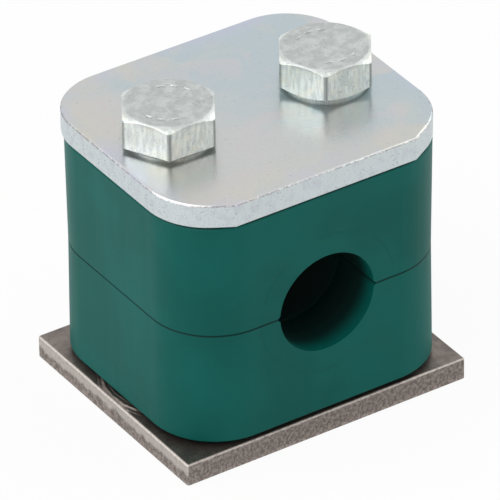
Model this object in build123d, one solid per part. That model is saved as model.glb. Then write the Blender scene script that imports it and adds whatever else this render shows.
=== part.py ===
from build123d import *
import os
from math import radians, sqrt, tan

# Hydraulic hose clamp: two moulded clamp halves between a weld plate and a cover plate,
# pulled together by two hex bolts that screw into collars drawn up from the weld plate.
# Millimetres. X runs through the two bolts, Y along the hose bore, Z up.
# The origin is the centre of the weld plate's underside.

# Assembly: the weld plate is as wide along the bore as the clamp halves
bolt_spacing = 20.0
clamp_width = 30.0

# Weld plate: sheared flat bar with two drawn, threaded collars
weld_length = 36.0
weld_width = clamp_width
weld_thickness = 2.65
weld_corner_radius = 0.3
weld_top_edge_break = 0.2
land_radius = 8.4
land_height = 0.4
land_slope = 0.9
collar_diameter = 10.0
collar_height = 3.2
collar_lip_chamfer = 0.4
collar_entry_chamfer = 0.9

# Clamp halves: the two are alike, the lower one is the upper one turned over
half_height = 13.8
body_length = 34.2
body_width = clamp_width
body_corner_radius = 7.7
wall_draft = 0.6
outer_edge_break = 0.4
split_edge_break = 0.1
bore_diameter = 12.0
clamping_gap = 0.2
split_notch = 0.35
groove_depth = 0.25
groove_width = 3.0
groove_pitch = 6.3
groove_count = 4
bolt_hole_diameter = 6.5
pocket_clearance = 1.1
pocket_head_room = 0.8

# Cover plate: stamped flat plate, its front corners clipped and rounded, its rear ones round
cover_thickness = 2.75
cover_end_overhang = 0.1
cover_side_setback = 0.05
cover_clip_run = 5.9
cover_clip_angle = 30.0
cover_corner_radius = 7.6
cover_rear_corner_radius = 7.2
cover_top_edge_break = 0.2
cover_hole_diameter = 6.6

# Hex bolts, M6, with the thread drawn at its pitch diameter
thread_pitch_diameter = 5.35
thread_clearance = 0.02
thread_engagement = 3.0
bolt_tip_chamfer = 0.6
head_across_flats = 9.85
head_hex_height = 3.85
head_top_diameter = 9.45
head_chamfer_angle = 30.0
head_under_diameter = 9.7
washer_face_diameter = 8.9
washer_face_height = 0.45
left_bolt_turn = -2.0
right_bolt_turn = -3.5

# Heights and centres that follow from the sizes above
land_z = weld_thickness + land_height
collar_top_z = land_z + collar_height
split_z = land_z + half_height
body_top_z = split_z + half_height
cover_top_z = body_top_z + cover_thickness
bolt_x = bolt_spacing / 2
draft_spread = half_height * tan(radians(wall_draft))
cover_length = body_length + 2 * (draft_spread + cover_end_overhang)
cover_width = body_width + 2 * (draft_spread - cover_side_setback)
cutter_margin = 1.0


def revolved(points):
    """Turn a closed outline of (radius, height) points about the Z axis."""
    outline = Plane.XZ * make_face(Polyline(*points, close=True))
    return revolve(outline, Axis.Z)


def bolt_places(height=0.0):
    """The two bolt axes, at a given height."""
    return [Pos(side * bolt_x, 0, height) for side in (-1, 1)]


def top_edges(solid):
    return solid.faces().sort_by(Axis.Z)[-1].outer_wire().edges()


def drawn_collar():
    """Raised land and threaded collar, solid until the thread hole is cut."""
    collar_radius = collar_diameter / 2
    lip = collar_lip_chamfer
    return revolved([
        (0, weld_thickness / 2),
        (land_radius, weld_thickness / 2),
        (land_radius, weld_thickness),
        (land_radius - land_slope, land_z),
        (collar_radius, land_z),
        (collar_radius, collar_top_z - lip),
        (collar_radius - lip, collar_top_z),
        (0, collar_top_z),
    ])


def thread_hole():
    """Hole through plate and collar, flared at the underside where the metal was drawn."""
    hole_radius = thread_pitch_diameter / 2 + thread_clearance
    flare = collar_entry_chamfer
    return revolved([
        (0, -cutter_margin),
        (hole_radius + flare + cutter_margin, -cutter_margin),
        (hole_radius, flare),
        (hole_radius, collar_top_z + cutter_margin),
        (0, collar_top_z + cutter_margin),
    ])


def weld_plate():
    plate = extrude(RectangleRounded(weld_length, weld_width, weld_corner_radius), weld_thickness)
    plate = chamfer(top_edges(plate), weld_top_edge_break)
    inset = 2 * weld_top_edge_break
    land_limits = extrude(Rectangle(weld_length - inset, weld_width - inset), collar_top_z)
    for place in bolt_places():
        plate += (place * drawn_collar()) & land_limits
    for place in bolt_places():
        plate -= place * thread_hole()
    return plate


def hose_bore():
    """The bore's cutter: past the half by the clamping gap, with shallow rings inside."""
    bore_radius = bore_diameter / 2
    along_y = Rot(90, 0, 0)
    cutter = along_y * Cylinder(bore_radius, body_width + 2 * cutter_margin + bore_diameter)
    for place in GridLocations(0, groove_pitch, 1, groove_count):
        cutter += place * along_y * Cylinder(bore_radius + groove_depth, groove_width)
    return Pos(0, 0, -clamping_gap / 2) * cutter


def split_notches():
    """Small bevels along both edges where the bore meets the split plane."""
    half_gap = clamping_gap / 2
    edge_x = sqrt((bore_diameter / 2) ** 2 - half_gap ** 2)
    bevel = Polyline((0, 0), (split_notch, 0), (0, split_notch), (-split_notch, 0), close=True)
    prism = extrude(Plane.XZ * make_face(bevel), body_width, both=True)
    return [Pos(side * edge_x, 0, 0) * prism for side in (-1, 1)]


def clamp_half():
    """One moulded half with its split plane at Z = 0 and its outer face up."""
    outline = RectangleRounded(body_length, body_width, body_corner_radius)
    half = extrude(outline, half_height, taper=-wall_draft)
    half = chamfer(top_edges(half), outer_edge_break)
    half = chamfer(half.faces().sort_by(Axis.Z)[0].edges(), split_edge_break)
    half -= hose_bore()
    half -= split_notches()
    pocket_radius = collar_diameter / 2 + pocket_clearance
    pocket_depth = collar_height + pocket_head_room
    for place in bolt_places(half_height):
        half -= place * Cylinder(bolt_hole_diameter / 2, 3 * half_height)
        half -= place * Cylinder(pocket_radius, 2 * pocket_depth)
    return half


def cover_outline():
    """Straight front and rear edges, front corners clipped and all four rounded."""
    half_length = cover_length / 2
    half_width = cover_width / 2
    flat = half_length - cover_clip_run
    clip = cover_clip_run * tan(radians(cover_clip_angle))
    front = [(half_length, clip - half_width), (flat, -half_width)]
    corners = front + [(-x, y) for x, y in reversed(front)]
    corners += [(-half_length, half_width), (half_length, half_width)]
    plan = make_face(Polyline(*corners, close=True))
    rear = plan.vertices().filter_by(lambda v: v.Y > half_width - cutter_margin)
    plan = fillet(rear, cover_rear_corner_radius)
    outer = plan.vertices().filter_by(lambda v: v.Y < 0 and abs(v.X) > flat + cutter_margin)
    return fillet(outer, cover_corner_radius)


def cover_plate():
    plate = extrude(cover_outline(), cover_thickness)
    plate = chamfer(top_edges(plate), cover_top_edge_break)
    for place in bolt_places():
        plate -= place * Cylinder(cover_hole_diameter / 2, 3 * cover_thickness)
    return Pos(0, 0, body_top_z) * plate


def hex_head(under_chamfer):
    """Hex with a turned chamfer on top, and one underneath where the bolt has it."""
    reach = head_across_flats
    slope = tan(radians(head_chamfer_angle))
    top_radius = head_top_diameter / 2
    under_radius = head_under_diameter / 2
    hexagon = RegularPolygon(head_across_flats / 2, 6, major_radius=False)
    head = extrude(hexagon, head_hex_height) & revolved([
        (0, 0),
        (reach, 0),
        (reach, head_hex_height - (reach - top_radius) * slope),
        (top_radius, head_hex_height),
        (0, head_hex_height),
    ])
    if under_chamfer:
        head &= revolved([
            (0, 0),
            (under_radius, 0),
            (reach, (reach - under_radius) * slope),
            (reach, head_hex_height),
            (0, head_hex_height),
        ])
    return head


def bolt(under_chamfer):
    """Bolt with the underside of its washer face at Z = 0, pointing down."""
    shank_length = cover_top_z - collar_top_z + thread_engagement
    shank_radius = thread_pitch_diameter / 2
    washer_face = extrude(Circle(washer_face_diameter / 2), washer_face_height)
    shank = revolved([
        (0, washer_face_height),
        (shank_radius, washer_face_height),
        (shank_radius, bolt_tip_chamfer - shank_length),
        (shank_radius - bolt_tip_chamfer, -shank_length),
        (0, -shank_length),
    ])
    return Pos(0, 0, washer_face_height) * hex_head(under_chamfer) + washer_face + shank


def build():
    """Every piece in its place, by node name."""
    half = clamp_half()
    on_cover = bolt_places(cover_top_z)
    return {
        "weld_plate": weld_plate(),
        "lower_clamp_half": Pos(0, 0, split_z) * Rot(0, 180, 0) * half,
        "upper_clamp_half": Pos(0, 0, split_z) * half,
        "cover_plate": cover_plate(),
        "left_bolt": on_cover[0] * Rot(0, 0, left_bolt_turn) * bolt(under_chamfer=False),
        "right_bolt": on_cover[1] * Rot(0, 0, right_bolt_turn) * bolt(under_chamfer=True),
    }


os.makedirs("parts", exist_ok=True)
for name, piece in build().items():
    export_step(piece, f"parts/{name}.step")
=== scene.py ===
from math import cos, pi, radians, sin

import bmesh
import bpy
from mathutils import Matrix, Vector


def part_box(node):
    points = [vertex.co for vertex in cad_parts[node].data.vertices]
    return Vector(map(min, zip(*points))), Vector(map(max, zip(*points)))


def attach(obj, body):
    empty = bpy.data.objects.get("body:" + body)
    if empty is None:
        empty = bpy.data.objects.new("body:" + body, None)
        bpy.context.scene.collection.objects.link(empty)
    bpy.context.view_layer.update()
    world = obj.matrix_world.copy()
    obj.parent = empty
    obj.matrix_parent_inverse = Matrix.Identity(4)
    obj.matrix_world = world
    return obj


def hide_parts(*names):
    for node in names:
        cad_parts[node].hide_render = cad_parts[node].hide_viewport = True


# Dresses the hydraulic hose clamp: moulded green halves, a passivated zinc cover plate,
# zinc plated hex bolts and a bare sheared weld plate. Blender units are metres; the
# patterns on the surfaces are worked out in millimetres.

bl_info = {
    "name": "Hydraulic hose clamp",
    "version": (1, 0, 0),
    "blender": (4, 5, 0),
    "location": "3D View > Sidebar > Hose Clamp",
    "description": "Dressed two-bolt hose clamp with moulded halves, zinc cover and bolts, bare weld plate",
    "category": "Add Mesh",
}

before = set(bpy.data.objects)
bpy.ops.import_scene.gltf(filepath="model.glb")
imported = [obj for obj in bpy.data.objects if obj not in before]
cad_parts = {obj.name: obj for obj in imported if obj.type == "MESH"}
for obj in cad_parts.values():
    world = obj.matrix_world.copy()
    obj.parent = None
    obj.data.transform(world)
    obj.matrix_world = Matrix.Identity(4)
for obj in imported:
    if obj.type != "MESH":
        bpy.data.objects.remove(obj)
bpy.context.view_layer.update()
MM = 0.001

WELD_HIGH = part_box("weld_plate")[1]
UPPER_LOW, UPPER_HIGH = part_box("upper_clamp_half")
COVER_LOW, COVER_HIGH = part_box("cover_plate")
RIGHT_LOW, RIGHT_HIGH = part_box("right_bolt")

SPLIT_Z = UPPER_LOW.z
BODY_FACE_Y = UPPER_HIGH.y
COVER_TOP_Z = COVER_HIGH.z
HALF_HEIGHT = UPPER_HIGH.z - UPPER_LOW.z
HEAD_TOP_Z = RIGHT_HIGH.z
BOLT_TIP_Z = RIGHT_LOW.z
BOLT_X = (RIGHT_LOW.x + RIGHT_HIGH.x) / 2

# Sizes inside the pieces, which no box gives
BORE_RING_RADIUS = 6.25 * MM
HEAD_CORNER_RADIUS = 5.69 * MM
PLATE_TOP_Z = 2.65 * MM
LAND_RADIUS = 8.4 * MM
THREAD_START_Z = 0.75 * MM
THREAD_END_GAP = 0.5 * MM

# How the facets of a solid are joined, and which of its edges are rolled over
SAME_POINT = 0.002 * MM
FLAT_ANGLE = radians(0.4)
HARD_ANGLE = radians(28)

# The studio
FLOOR_HALF = 0.6
FLOOR_DROP = 0.02 * MM
KEY_PLACE = (-0.35, 0.03, 0.32)
RIM_PLACE = (0.42, -0.12, 0.16)
LAMP_SIZE = 0.6


def linear(colour):
    """A colour as seen on screen, from 0 to 255, as Blender's linear values."""
    scaled = [c / 255 for c in colour]
    return tuple(c / 12.92 if c <= 0.04045 else ((c + 0.055) / 1.055) ** 2.4 for c in scaled)


class Num:
    """A number that varies over a surface, with Python arithmetic that adds Math nodes."""

    def __init__(self, graph, socket):
        self.graph = graph
        self.socket = socket

    def maths(self, operation, *values):
        settings = {"operation": operation}
        return self.graph.node("ShaderNodeMath", settings, dict(enumerate(values))).number()

    def __add__(self, other):
        return self.maths("ADD", self, other)

    __radd__ = __add__

    def __sub__(self, other):
        return self.maths("SUBTRACT", self, other)

    def __rsub__(self, other):
        return self.maths("SUBTRACT", other, self)

    def __mul__(self, other):
        return self.maths("MULTIPLY", self, other)

    __rmul__ = __mul__

    def __truediv__(self, other):
        return self.maths("DIVIDE", self, other)

    def __abs__(self):
        return self.maths("ABSOLUTE", self)

    def root(self):
        return self.maths("SQRT", self)

    def wave(self):
        return self.maths("SINE", self)

    def high(self, other):
        return self.maths("MAXIMUM", self, other)

    def step(self, start, end):
        """0 below start, 1 above end, with a smooth rise between them."""
        settings = {"interpolation_type": "SMOOTHSTEP"}
        sockets = {"Value": self, "From Min": start, "From Max": end}
        return self.graph.node("ShaderNodeMapRange", settings, sockets).number("Result")


class Made:
    """A node that has been added, and its outputs by name or place."""

    def __init__(self, graph, node):
        self.graph = graph
        self.made = node

    def out(self, name=0):
        return self.made.outputs[name]

    def number(self, name=0):
        return Num(self.graph, self.made.outputs[name])


class Graph:
    """Adds nodes to one tree."""

    def __init__(self, tree):
        self.tree = tree

    def plug(self, node, key, value):
        socket = node.inputs[key]
        if isinstance(value, Num):
            value = value.socket
        if isinstance(value, bpy.types.NodeSocket):
            self.tree.links.new(value, socket)
        else:
            socket.default_value = value

    def node(self, kind, settings, sockets):
        """Any node: its settings first, then the value or link of each socket."""
        node = self.tree.nodes.new(kind)
        for key, value in settings.items():
            setattr(node, key, value)
        for key, value in sockets.items():
            self.plug(node, key, value)
        return Made(self, node)


class Finish(Graph):
    """One material, built on a fresh Principled shader. Its x, y and z are millimetres."""

    def __init__(self, name):
        self.material = bpy.data.materials.new(name)
        self.material.use_nodes = True
        super().__init__(self.material.node_tree)
        self.tree.nodes.clear()
        self.surface = self.tree.nodes.new("ShaderNodeBsdfPrincipled")
        self.output = self.tree.nodes.new("ShaderNodeOutputMaterial")
        self.tree.links.new(self.surface.outputs[0], self.output.inputs["Surface"])
        self.spot = self.stretch(1, 1, 1)
        apart = self.node("ShaderNodeSeparateXYZ", {}, {0: self.spot})
        self.x, self.y, self.z = (apart.number(i) for i in range(3))

    def set(self, **sockets):
        for key, value in sockets.items():
            self.plug(self.surface, key.replace("_", " "), value)

    def stretch(self, *scale):
        """Object coordinates in millimetres, stretched along each axis."""
        place = self.node("ShaderNodeTexCoord", {}, {}).out("Object")
        size = tuple(s / MM for s in scale)
        return self.node("ShaderNodeMapping", {}, {"Vector": place, "Scale": size}).out()

    def noise(self, place, scale, detail=3.0, roughness=0.55, distortion=0.0):
        sockets = {
            "Vector": place, "Scale": scale, "Detail": detail,
            "Roughness": roughness, "Distortion": distortion,
        }
        return self.node("ShaderNodeTexNoise", {}, sockets).number()

    def mix(self, amount, first, second):
        """Two colours mixed by a number: as seen on screen, linear vectors, or from a node."""
        settings = {"data_type": "RGBA", "clamp_factor": True}
        node = self.node("ShaderNodeMix", settings, {0: amount})
        for key, colour in ((6, first), (7, second)):
            if isinstance(colour, tuple):
                colour = (*linear(colour), 1)
            elif isinstance(colour, Vector):
                colour = (*colour, 1)
            self.plug(node.made, key, colour)
        return node.out(2)

    def bump(self, *layers):
        """Stacked bumps, each a (height, depth in millimetres)."""
        normal = None
        for height, depth in layers:
            sockets = {"Height": height, "Distance": depth * MM}
            if normal is not None:
                sockets["Normal"] = normal
            normal = self.node("ShaderNodeBump", {}, sockets).out()
        self.set(Normal=normal)

    def from_bolt(self):
        """Distance from the nearer bolt's axis."""
        along = abs(self.x) - BOLT_X / MM
        return (along * along + self.y * self.y).root()


class Shape(Graph):
    """One Geometry Nodes tree with named inputs."""

    kinds = {int: "NodeSocketInt", float: "NodeSocketFloat"}

    def __init__(self, name, **inputs):
        super().__init__(bpy.data.node_groups.new(name, "GeometryNodeTree"))
        face = self.tree.interface
        face.new_socket("Geometry", in_out="INPUT", socket_type="NodeSocketGeometry")
        face.new_socket("Geometry", in_out="OUTPUT", socket_type="NodeSocketGeometry")
        self.values = {}
        for label, value in inputs.items():
            kind = self.kinds[type(value)]
            socket = face.new_socket(label.capitalize(), in_out="INPUT", socket_type=kind)
            self.values[socket.identifier] = value
        self.start = self.node("NodeGroupInput", {}, {})

    def input(self, label):
        return self.start.out(label.capitalize())

    def number(self, label):
        return self.start.number(label.capitalize())

    def end(self, geometry, finish):
        """Close the tree: instances made real, shaded smooth, in one finish."""
        real = self.node("GeometryNodeRealizeInstances", {}, {0: geometry})
        smooth = self.node("GeometryNodeSetShadeSmooth", {}, {0: real.out()})
        coloured = self.node("GeometryNodeSetMaterial", {}, {0: smooth.out(), "Material": finish.material})
        self.node("NodeGroupOutput", {}, {0: coloured.out()})

    def mesh(self, base):
        """The plain mesh that the tree makes from a base mesh."""
        holder = bpy.data.objects.new("holder", base)
        bpy.context.scene.collection.objects.link(holder)
        modifier = holder.modifiers.new("shape", "NODES")
        modifier.node_group = self.tree
        for identifier, value in self.values.items():
            modifier[identifier] = value
        return baked(holder)


def baked(holder):
    """The plain mesh of an object with its modifiers, which then go with the object."""
    bpy.context.view_layer.update()
    seen = holder.evaluated_get(bpy.context.evaluated_depsgraph_get())
    mesh = bpy.data.meshes.new_from_object(seen)
    bpy.data.objects.remove(holder)
    return mesh


def keep(name, mesh, finish, slot, *nodes):
    """A finished piece: it stands for these CAD nodes and rides on the clamp."""
    piece = bpy.data.objects.new(name, mesh)
    bpy.context.scene.collection.objects.link(piece)
    if not mesh.materials:
        mesh.materials.append(finish.material)
    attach(piece, "root")
    if nodes:
        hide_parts(*nodes)
    return piece


def merged(node):
    """A copy of a CAD node's mesh with its facets joined into flats and smooth curves."""
    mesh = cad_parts[node].data.copy()
    mesh.materials.clear()
    work = bmesh.new()
    work.from_mesh(mesh)
    bmesh.ops.remove_doubles(work, verts=work.verts, dist=SAME_POINT)
    bmesh.ops.dissolve_limit(work, angle_limit=FLAT_ANGLE, verts=work.verts, edges=work.edges)
    work.to_mesh(mesh)
    work.free()
    return mesh


def dressed(name, node, edge, finish, slot):
    """The node's own form with every hard edge rolled over by a small radius."""
    holder = bpy.data.objects.new("holder", merged(node))
    bpy.context.scene.collection.objects.link(holder)
    for face in holder.data.polygons:
        face.use_smooth = True
    bevel = holder.modifiers.new("edges", "BEVEL")
    bevel.width = edge
    bevel.segments = 3
    bevel.limit_method = "ANGLE"
    bevel.angle_limit = HARD_ANGLE
    weighted = holder.modifiers.new("normals", "WEIGHTED_NORMAL")
    weighted.weight = 60
    weighted.keep_sharp = True
    return keep(name, baked(holder), finish, slot, node)


class ClampStage(bpy.types.PropertyGroup):
    azimuth: bpy.props.FloatProperty(
        name="Azimuth", description="Camera direction round the clamp, in degrees", default=-33.075)
    elevation: bpy.props.FloatProperty(
        name="Elevation", description="Camera height angle, in degrees", default=33.509)
    roll: bpy.props.FloatProperty(
        name="Roll", description="Camera roll, in degrees", default=-0.7922)
    distance: bpy.props.FloatProperty(
        name="Distance", description="Camera to the aimed point", default=0.772707, unit="LENGTH")
    lens: bpy.props.FloatProperty(
        name="Lens", description="Focal length in millimetres", default=515.94)
    aim: bpy.props.FloatVectorProperty(
        name="Aim", description="Point in the middle of the picture", size=3,
        default=(-0.0003961, -0.0007049, 0.0157814), subtype="XYZ")
    sky: bpy.props.FloatProperty(
        name="Sky", description="Strength of the even light from all round", default=0.62)
    key: bpy.props.FloatProperty(
        name="Key lamp", description="Power of the soft lamp at the upper left", default=1.75, unit="POWER")
    rim: bpy.props.FloatProperty(
        name="Rim lamp", description="Power of the soft lamp at the right", default=1.2, unit="POWER")


class ClampLook(bpy.types.PropertyGroup):
    plastic: bpy.props.FloatVectorProperty(
        name="Plastic", description="Colour of the moulded halves", size=3, subtype="COLOR",
        default=linear((5, 86, 79)))
    plastic_edge: bpy.props.FloatProperty(
        name="Plastic edge", description="Radius on the edges of the halves",
        default=0.05 * MM, unit="LENGTH")
    cover_edge: bpy.props.FloatProperty(
        name="Cover edge", description="Radius on the edges of the cover plate",
        default=0.07 * MM, unit="LENGTH")
    bolt_edge: bpy.props.FloatProperty(
        name="Bolt edge", description="Radius on the edges of the bolt heads",
        default=0.09 * MM, unit="LENGTH")
    steel_edge: bpy.props.FloatProperty(
        name="Weld plate edge", description="Radius on the edges of the weld plate",
        default=0.06 * MM, unit="LENGTH")
    witness_radius: bpy.props.FloatProperty(
        name="Witness ring", description="Radius of the core's faint mark round the bore",
        default=8.5 * MM, unit="LENGTH")
    dash_length: bpy.props.FloatProperty(
        name="Dash length", description="Length of a raised dash on a bolt head",
        default=1.0 * MM, unit="LENGTH")
    dash_circle: bpy.props.FloatProperty(
        name="Dash circle", description="Radius of the circle that the dashes stand on",
        default=3.35 * MM, unit="LENGTH")
    burr_size: bpy.props.FloatProperty(
        name="Burr size", description="Size of a nib of burr on the cover's edge",
        default=0.07 * MM, unit="LENGTH")
    burr_spacing: bpy.props.FloatProperty(
        name="Burr spacing", description="Mean distance between the nibs of burr",
        default=0.33 * MM, unit="LENGTH")
    thread_pitch: bpy.props.FloatProperty(
        name="Thread pitch", description="Pitch of the thread in the collars",
        default=1.0 * MM, unit="LENGTH")


class CLAMP_OT_stage(bpy.types.Operator):
    """Add the camera, the two lamps, the pale floor and the white surroundings"""

    bl_idname = "clamp.stage"
    bl_label = "Stage"

    def execute(self, context):
        stage = context.scene.clamp_stage
        add_camera(context, stage)
        add_floor(context)
        add_lights(context, stage)
        context.scene.view_settings.view_transform = "Standard"
        return {"FINISHED"}


def add_camera(context, stage):
    azimuth, elevation, roll = (radians(a) for a in (stage.azimuth, stage.elevation, stage.roll))
    back = Vector((sin(azimuth) * cos(elevation), -cos(azimuth) * cos(elevation), sin(elevation)))
    level = Vector((cos(azimuth), sin(azimuth), 0))
    up = back.cross(level)
    right = level * cos(roll) + up * sin(roll)
    up = up * cos(roll) - level * sin(roll)
    data = bpy.data.cameras.new("camera")
    data.lens = stage.lens
    data.sensor_width = 36
    data.clip_start = 0.01
    camera = bpy.data.objects.new("camera", data)
    place = Vector(stage.aim) + back * stage.distance
    turn = Matrix((right, up, back)).transposed().to_4x4()
    camera.matrix_world = Matrix.Translation(place) @ turn
    context.scene.collection.objects.link(camera)
    context.scene.camera = camera


def add_floor(context):
    """A white floor with a trace of the clamp's shadow, clear from below and right under it."""
    mesh = bpy.data.meshes.new("floor")
    quarters = ((-1, -1), (1, -1), (1, 1), (-1, 1))
    corners = [(x * FLOOR_HALF, y * FLOOR_HALF, -FLOOR_DROP) for x, y in quarters]
    mesh.from_pydata(corners, [], [(0, 1, 2, 3)])
    floor = bpy.data.objects.new("floor", mesh)
    context.scene.collection.objects.link(floor)
    finish = Finish("floor")
    finish.set(Base_Color=(0.8, 0.8, 0.8, 1), Roughness=0.9)
    rays = finish.node("ShaderNodeLightPath", {}, {})
    white = finish.node("ShaderNodeEmission", {}, {"Color": (1, 1, 1, 1), "Strength": 1.0})
    share = rays.number("Is Camera Ray") * 0.93
    pale = finish.node("ShaderNodeMixShader", {}, {0: share, 1: finish.surface.outputs[0], 2: white.out()})
    behind = finish.node("ShaderNodeNewGeometry", {}, {}).number("Backfacing")
    touching = 1 - rays.number("Ray Length").step(0.5 * MM, 1.0 * MM)
    clear = finish.node("ShaderNodeBsdfTransparent", {}, {})
    parts = {0: behind.high(touching), 1: pale.out(), 2: clear.out()}
    mixed = finish.node("ShaderNodeMixShader", {}, parts)
    finish.tree.links.new(mixed.out(), finish.output.inputs["Surface"])
    mesh.materials.append(finish.material)


def add_lights(context, stage):
    """White surroundings, full in reflections and weaker as light, and two soft lamps."""
    world = bpy.data.worlds.new("studio")
    world.use_nodes = True
    graph = Graph(world.node_tree)
    graph.tree.nodes.clear()
    rays = graph.node("ShaderNodeLightPath", {}, {})
    seen = rays.number("Is Camera Ray").high(rays.number("Is Glossy Ray"))
    strength = stage.sky + seen * (1 - stage.sky)
    background = graph.node("ShaderNodeBackground", {}, {"Color": (1, 1, 1, 1), "Strength": strength})
    graph.node("ShaderNodeOutputWorld", {}, {0: background.out()})
    context.scene.world = world
    add_lamp(context, "key", KEY_PLACE, stage.key)
    add_lamp(context, "rim", RIM_PLACE, stage.rim)


def add_lamp(context, name, place, power):
    """A large soft lamp that faces the middle of the clamp."""
    data = bpy.data.lights.new(name, "AREA")
    data.shape = "SQUARE"
    data.size = LAMP_SIZE
    data.energy = power
    lamp = bpy.data.objects.new(name, data)
    lamp.location = place
    toward = Vector((0, 0, SPLIT_Z)) - lamp.location
    lamp.rotation_euler = toward.to_track_quat("-Z", "Y").to_euler()
    context.scene.collection.objects.link(lamp)


class CLAMP_OT_halves(bpy.types.Operator):
    """Add the two moulded clamp halves"""

    bl_idname = "clamp.halves"
    bl_label = "Clamp halves"

    def execute(self, context):
        look = context.scene.clamp_look
        finish = moulded_plastic(look)
        for node in ("lower_clamp_half", "upper_clamp_half"):
            dressed("moulded_" + node, node, look.plastic_edge, finish, "green_polypropylene")
        return {"FINISHED"}


def moulded_plastic(look):
    """Satin polypropylene: slightly wavy walls and a scuffed ring round the bore, with painted shade in the
    split between the halves, at their ends against the cover plate and the weld plate, and inside the bore.
    """
    finish = Finish("green_polypropylene")
    plastic = Vector(look.plastic)
    face = BODY_FACE_Y / MM
    outer = HALF_HEIGHT / MM
    wall = BORE_RING_RADIUS / MM
    height = finish.z - SPLIT_Z / MM
    radius = (finish.x * finish.x + height * height).root()
    clouds = finish.noise(finish.spot, 0.07, 3)
    grain = finish.noise(finish.spot, 7.0, 2)
    bands = finish.noise(finish.stretch(1, 1, 0.1), 0.2, 2)
    dust = finish.noise(finish.spot, 2.6, 2)
    colour = finish.mix(clouds.step(0.35, 0.65), plastic * 0.9, plastic * 1.1)
    colour = finish.mix(dust.step(0.72, 0.8) * 0.2, colour, (66, 120, 110))
    at_face = abs(finish.y).step(face - 0.8, face - 0.5)
    ring = 1 - abs(radius - look.witness_radius / MM).step(0.0, 0.3)
    ring = ring * at_face * finish.noise(finish.spot, 0.35, 3).step(0.42, 0.62)
    colour = finish.mix(ring * 0.22, colour, (6, 62, 56))
    # Painted shade: a dark line along the split, where the gap between the two halves lies in shade.
    split_gap_shade = 1 - abs(height).step(0.07, 0.17)
    # Painted shade: the ends of the halves go nearly black where they meet the cover plate and the weld
    # plate.
    ends = abs(height).step(outer - 0.34, outer - 0.12)
    # Painted shade: the wall of the bore is darkened from just inside the face inwards, as shade falls in
    # the recess.
    inside = 1 - radius.step(wall + 0.1, wall + 0.25)
    inside = inside * (1 - abs(finish.y).step(face - 2.94, face - 0.2))
    colour = finish.mix(split_gap_shade * 0.8, colour, (2, 40, 36))
    colour = finish.mix(ends * 0.85, colour, (2, 22, 20))
    colour = finish.mix(inside * 0.85, colour, (4, 18, 16))
    finish.set(Base_Color=colour, Roughness=0.38 + 0.07 * clouds + 0.05 * grain + inside * 0.25)
    finish.set(Specular_IOR_Level=0.12)
    finish.bump((bands, 0.14), (ring, -0.02), (grain, 0.006))
    return finish


class CLAMP_OT_cover(bpy.types.Operator):
    """Add the zinc plated cover plate and the burr along its sheared edge"""

    bl_idname = "clamp.cover"
    bl_label = "Cover plate"

    def execute(self, context):
        look = context.scene.clamp_look
        finish = cover_zinc()
        cover = dressed("stamped_cover", "cover_plate", look.cover_edge, finish, "cover_zinc")
        burr = edge_burr(look, finish)
        keep("cover_burr", burr.mesh(front_edge(cover.data)), finish, "cover_zinc")
        return {"FINISHED"}


def cover_zinc():
    """Bright passivated zinc: blue in the middle, pink, yellow and lilac towards the edges."""
    finish = Finish("cover_zinc")
    top = COVER_TOP_Z / MM
    across = abs(finish.x) / (COVER_HIGH.x / MM)
    along = abs(finish.y) / (COVER_HIGH.y / MM)
    rim = across.high(along)
    patches = finish.noise(finish.spot, 0.11, 3)
    tints = finish.noise(finish.spot, 0.16, 2, distortion=0.6)
    grain = finish.noise(finish.spot, 1.6, 4)
    dirt = finish.noise(finish.spot, 3.2, 3, 0.6)
    salt = finish.noise(finish.spot, 5.5, 2, 0.7)
    blue_side = (finish.x * 0.04 + finish.y * 0.03 + patches * 1.6 - 0.3).step(0.2, 0.9)
    colour = finish.mix(blue_side, (196, 198, 197), (183, 195, 200))
    colour = finish.mix(tints.step(0.5, 0.62) * 0.45, colour, (202, 196, 198))
    colour = finish.mix(rim.step(0.62, 0.95) * tints.step(0.42, 0.56) * 0.55, colour, (203, 200, 188))
    colour = finish.mix(rim.step(0.8, 1.0) * patches.step(0.42, 0.6) * 0.55, colour, (193, 194, 215))
    side = 1 - finish.z.step(top - 0.3, top - 0.15)
    colour = finish.mix(side * 0.85, colour, (211, 220, 222))
    mottle = finish.noise(finish.stretch(1, 1, 0.7), 1.1, 4).step(0.45, 0.7)
    colour = finish.mix(side * mottle * 0.35, colour, (186, 188, 200))
    colour = finish.mix(side * salt.step(0.55, 0.7) * 0.5, colour, (150, 150, 160))
    marks = dirt.step(0.64, 0.7) * (0.3 + side * 0.3)
    colour = finish.mix(marks, colour, (112, 114, 116))
    line = (1 - abs(finish.z - (top - 0.16)).step(0.02, 0.12)) * dirt.step(0.35, 0.55)
    colour = finish.mix(line * 0.55, colour, (96, 98, 102))
    finish.set(Base_Color=colour, Metallic=1.0, Roughness=0.22 + 0.1 * patches + side * 0.16)
    finish.bump((patches, 0.06), (grain, 0.004), (dirt, 0.003))
    return finish


def front_edge(mesh):
    """The cover's top edge along the front and right, as a line for the burr to follow."""
    rim = [v.co for v in mesh.vertices if v.co.z > COVER_TOP_Z - 0.02 * MM]
    front = sorted((p for p in rim if on_front_rim(p)), key=lambda p: p.x)
    line = bpy.data.meshes.new("front_edge")
    links = [(i, i + 1) for i in range(len(front) - 1)]
    line.from_pydata([tuple(p) for p in front], links, [])
    return line


def on_front_rim(point):
    """On the front and right of the rim, and not on the edge of a bolt hole."""
    from_hole = Vector((abs(point.x) - BOLT_X, point.y)).length
    return point.y < -0.3 * BODY_FACE_Y and from_hole > 4 * MM and point.x > 0.75 * COVER_LOW.x


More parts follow.
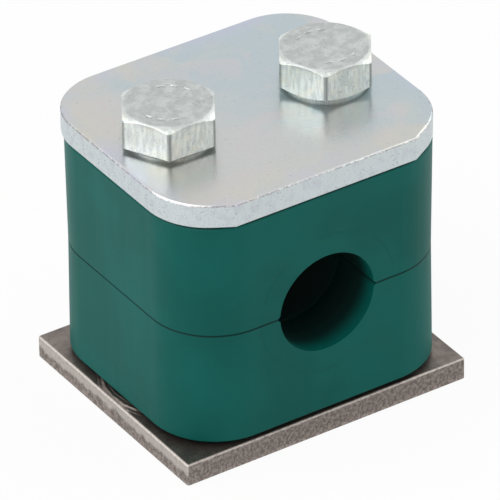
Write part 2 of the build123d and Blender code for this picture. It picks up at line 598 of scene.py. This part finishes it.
def edge_burr(look, finish):
    """Fine nibs of torn metal at uneven places along a line."""
    shape = Shape("edge_burr", spacing=look.burr_spacing, size=look.burr_size, seed=7)
    path = shape.node("GeometryNodeMeshToCurve", {}, {0: shape.start.out("Geometry")})
    sockets = {"Curve": path.out(), "Length": shape.input("spacing")}
    spots = shape.node("GeometryNodeCurveToPoints", {"mode": "LENGTH"}, sockets)
    nib = shape.node("GeometryNodeMeshIcoSphere", {}, {"Radius": shape.input("size"), "Subdivisions": 1})
    scatter = {"data_type": "FLOAT_VECTOR"}
    least = (-0.12 * MM, -0.05 * MM, -0.05 * MM)
    most = (0.12 * MM, 0.05 * MM, 0.02 * MM)
    shift = shape.node("FunctionNodeRandomValue", scatter, {0: least, 1: most, "Seed": shape.input("seed")})
    moved = shape.node("GeometryNodeSetPosition", {}, {0: spots.out(), "Offset": shift.out()})
    sockets = {0: (0.6, 0.5, 0.3), 1: (2.2, 1.0, 0.8), "Seed": shape.number("seed") + 1}
    size = shape.node("FunctionNodeRandomValue", scatter, sockets)
    sockets = {
        "Points": moved.out(), "Instance": nib.out(),
        "Rotation": spots.out("Rotation"), "Scale": size.out(),
    }
    nibs = shape.node("GeometryNodeInstanceOnPoints", {}, sockets)
    shape.end(nibs.out(), finish)
    return shape


class CLAMP_OT_bolts(bpy.types.Operator):
    """Add the two hex bolts and the plain raised dashes on their heads"""

    bl_idname = "clamp.bolts"
    bl_label = "Bolts"

    def execute(self, context):
        look = context.scene.clamp_look
        finish = bolt_zinc()
        dashes = head_dashes(look, finish)
        for side, node, turn in ((-1, "left_bolt", 0.35), (1, "right_bolt", 1.1)):
            dressed("plated_" + node, node, look.bolt_edge, finish, "bolt_zinc")
            mesh = dashes.mesh(bpy.data.meshes.new("dashes"))
            place = Matrix.Translation((side * BOLT_X, 0, HEAD_TOP_Z))
            mesh.transform(place @ Matrix.Rotation(turn, 4, "Z"))
            keep(node + "_dashes", mesh, finish, "bolt_zinc")
        return {"FINISHED"}


def bolt_zinc():
    """Zinc on forged steel: speckled flats, a duller mottled top, and painted shade along the rounded
    corners of the hex.
    """
    finish = Finish("bolt_zinc")
    head_top = HEAD_TOP_Z / MM
    edge = HEAD_CORNER_RADIUS / MM
    from_axis = finish.from_bolt()
    streaks = finish.noise(finish.stretch(1, 1, 0.22), 2.6, 4, 0.6)
    mottle = finish.noise(finish.spot, 0.8, 4, 0.6)
    specks = finish.noise(finish.spot, 4.2, 3, 0.6)
    top = finish.z.step(head_top - 0.12, head_top - 0.04)
    cone = finish.z.step(head_top - 0.8, head_top - 0.1)
    cone = cone * (1 - from_axis.step(edge - 0.74, edge - 0.39))
    colour = finish.mix(streaks.step(0.38, 0.62), (203, 210, 207), (229, 235, 230))
    colour = finish.mix(mottle.step(0.45, 0.62) * 0.35, colour, (236, 232, 212))
    dull = finish.mix(mottle.step(0.35, 0.6), (197, 201, 200), (180, 184, 183))
    colour = finish.mix(top.high(cone * 0.7), colour, dull)
    colour = finish.mix(specks.step(0.6, 0.7) * 0.55, colour, (120, 126, 122))
    # Painted shade: a dark line down each rounded corner of the hex.
    corner_shade = from_axis.step(edge - 0.19, edge - 0.07)
    colour = finish.mix(corner_shade * (0.45 + 0.4 * streaks), colour, (92, 97, 95))
    finish.set(Base_Color=colour, Metallic=0.6 + 0.3 * top, Roughness=0.32 + 0.12 * top + 0.12 * specks)
    finish.bump((streaks, 0.015), (mottle, 0.04), (specks, 0.012))
    return finish


def head_dashes(look, finish):
    """Two arcs of plain raised dashes, opposite each other on a bolt head."""
    shape = Shape(
        "head_dashes", circle=look.dash_circle, length=look.dash_length, width=0.34 * MM,
        rise=0.3 * MM, count=3)
    arc = {"Radius": shape.input("circle"), "Sweep Angle": radians(52), "Resolution": 24}
    path = shape.node("GeometryNodeCurveArc", {"mode": "RADIUS"}, arc)
    sockets = {"Curve": path.out(), "Count": shape.input("count")}
    spots = shape.node("GeometryNodeCurveToPoints", {"mode": "COUNT"}, sockets)
    parts = {0: shape.input("width"), 1: shape.input("rise"), 2: shape.input("length")}
    size = shape.node("ShaderNodeCombineXYZ", {}, parts)
    bead = shape.node("GeometryNodeMeshUVSphere", {}, {"Segments": 12, "Rings": 8, "Radius": 0.5})
    sockets = {
        "Points": spots.out(), "Instance": bead.out(),
        "Rotation": spots.out("Rotation"), "Scale": size.out(),
    }
    front = shape.node("GeometryNodeInstanceOnPoints", {}, sockets)
    back = shape.node("GeometryNodeTransform", {}, {"Geometry": front.out(), "Rotation": (0, 0, pi)})
    both = shape.node("GeometryNodeJoinGeometry", {}, {})
    for part in (front, back):
        shape.tree.links.new(part.out(), both.made.inputs[0])
    shape.end(both.out(), finish)
    return shape


class CLAMP_OT_weld_plate(bpy.types.Operator):
    """Add the bare weld plate and the threads in its collars"""

    bl_idname = "clamp.weld_plate"
    bl_label = "Weld plate"

    def execute(self, context):
        look = context.scene.clamp_look
        finish = bare_steel()
        dressed("sheared_weld_plate", "weld_plate", look.steel_edge, finish, "bare_steel")
        thread = collar_thread(look, finish)
        for side, name in ((-1, "left_thread"), (1, "right_thread")):
            mesh = thread.mesh(bpy.data.meshes.new(name))
            mesh.transform(Matrix.Translation((side * BOLT_X, 0, THREAD_START_Z)))
            keep(name, mesh, finish, "bare_steel")
        return {"FINISHED"}


def bare_steel():
    """Oily hot rolled steel: burnished and torn bands on the ends, swirls on the lands."""
    finish = Finish("bare_steel")
    half_length = WELD_HIGH.x / MM
    half_width = WELD_HIGH.y / MM
    plate_top = PLATE_TOP_Z / MM
    land = LAND_RADIUS / MM
    end = abs(finish.x).step(half_length - 0.2, half_length - 0.08)
    side = abs(finish.y).step(half_width - 0.2, half_width - 0.08)
    cut = end.high(side)
    scale = finish.noise(finish.spot, 0.35, 4, 0.6)
    grain = finish.noise(finish.spot, 2.4, 4, 0.65)
    tears = finish.noise(finish.stretch(1, 1, 0.8), 2.8, 5, 0.7)
    wander = finish.noise(finish.stretch(1, 1, 0.2), 0.45, 3, 0.6)
    colour = finish.mix(scale.step(0.35, 0.65), (110, 101, 96), (134, 125, 119))
    colour = finish.mix(grain.step(0.48, 0.7) * 0.5, colour, (88, 80, 76))
    torn = finish.mix(tears.step(0.36, 0.62), (166, 156, 150), (118, 108, 103))
    torn = finish.mix(grain.step(0.55, 0.68) * 0.4, torn, (92, 83, 79))
    band = finish.mix(grain.step(0.42, 0.7) * 0.5, (196, 189, 182), (160, 152, 146))
    burnished = (finish.z + wander * 2.2).step(plate_top - 0.4, plate_top + 0.1)
    colour = finish.mix(cut, colour, torn)
    colour = finish.mix(end * burnished, colour, band)
    lip = finish.z.step(plate_top - 0.25, plate_top - 0.1) * side * grain.step(0.3, 0.5)
    colour = finish.mix(lip * 0.8, colour, (200, 193, 186))
    from_axis = finish.from_bolt()
    on_land = 1 - from_axis.step(land - 0.2, land + 0.2)
    on_land = on_land * finish.z.step(plate_top - 0.05, plate_top + 0.1)
    wobble = finish.noise(finish.spot, 0.8, 2)
    swirl = (from_axis * 13 + wobble * 5).wave()
    colour = finish.mix(on_land * swirl.step(-0.2, 0.9) * 0.65, colour, (70, 64, 60))
    rough = 0.3 + 0.14 * grain + cut * 0.22 - end * burnished * 0.12
    finish.set(Base_Color=colour, Metallic=0.85, Roughness=rough)
    finish.bump((scale, 0.05), (tears * cut, 0.06), (grain, 0.02), (swirl * on_land, 0.02))
    return finish


def collar_thread(look, finish):
    """A ridge that winds round inside a collar, below the bolt's tip."""
    run = BOLT_TIP_Z - THREAD_END_GAP - THREAD_START_Z
    turns = run / look.thread_pitch
    shape = Shape("collar_thread", radius=2.7 * MM, depth=0.2 * MM, turns=turns, height=run)
    wound = {
        "Resolution": 48, "Rotations": shape.input("turns"), "Start Radius": shape.input("radius"),
        "End Radius": shape.input("radius"), "Height": shape.input("height"),
    }
    helix = shape.node("GeometryNodeCurveSpiral", {}, wound)
    sockets = {"Resolution": 4, "Radius": shape.input("depth")}
    ridge = shape.node("GeometryNodeCurvePrimitiveCircle", {}, sockets)
    sockets = {"Curve": helix.out(), "Profile Curve": ridge.out(), "Fill Caps": True}
    wire = shape.node("GeometryNodeCurveToMesh", {}, sockets)
    shape.end(wire.out(), finish)
    return shape


class CLAMP_PT_panel(bpy.types.Panel):
    """A button for each group of pieces and for the stage, with their settings"""

    bl_idname = "CLAMP_PT_panel"
    bl_label = "Hose Clamp"
    bl_space_type = "VIEW_3D"
    bl_region_type = "UI"
    bl_category = "Hose Clamp"

    def draw(self, context):
        layout = self.layout
        for piece in pieces:
            layout.operator(piece.bl_idname)
        for group in (context.scene.clamp_look, context.scene.clamp_stage):
            box = layout.box()
            for key in group.__annotations__:
                box.prop(group, key)


pieces = (CLAMP_OT_stage, CLAMP_OT_halves, CLAMP_OT_cover, CLAMP_OT_bolts, CLAMP_OT_weld_plate)
classes = (ClampStage, ClampLook, *pieces, CLAMP_PT_panel)


def register():
    for one in classes:
        bpy.utils.register_class(one)
    bpy.types.Scene.clamp_stage = bpy.props.PointerProperty(type=ClampStage)
    bpy.types.Scene.clamp_look = bpy.props.PointerProperty(type=ClampLook)


def unregister():
    del bpy.types.Scene.clamp_look
    del bpy.types.Scene.clamp_stage
    for one in reversed(classes):
        bpy.utils.unregister_class(one)


def main():
    register()
    bpy.ops.clamp.stage()
    bpy.ops.clamp.halves()
    bpy.ops.clamp.cover()
    bpy.ops.clamp.bolts()
    bpy.ops.clamp.weld_plate()


if __name__ == "__main__":
    main()
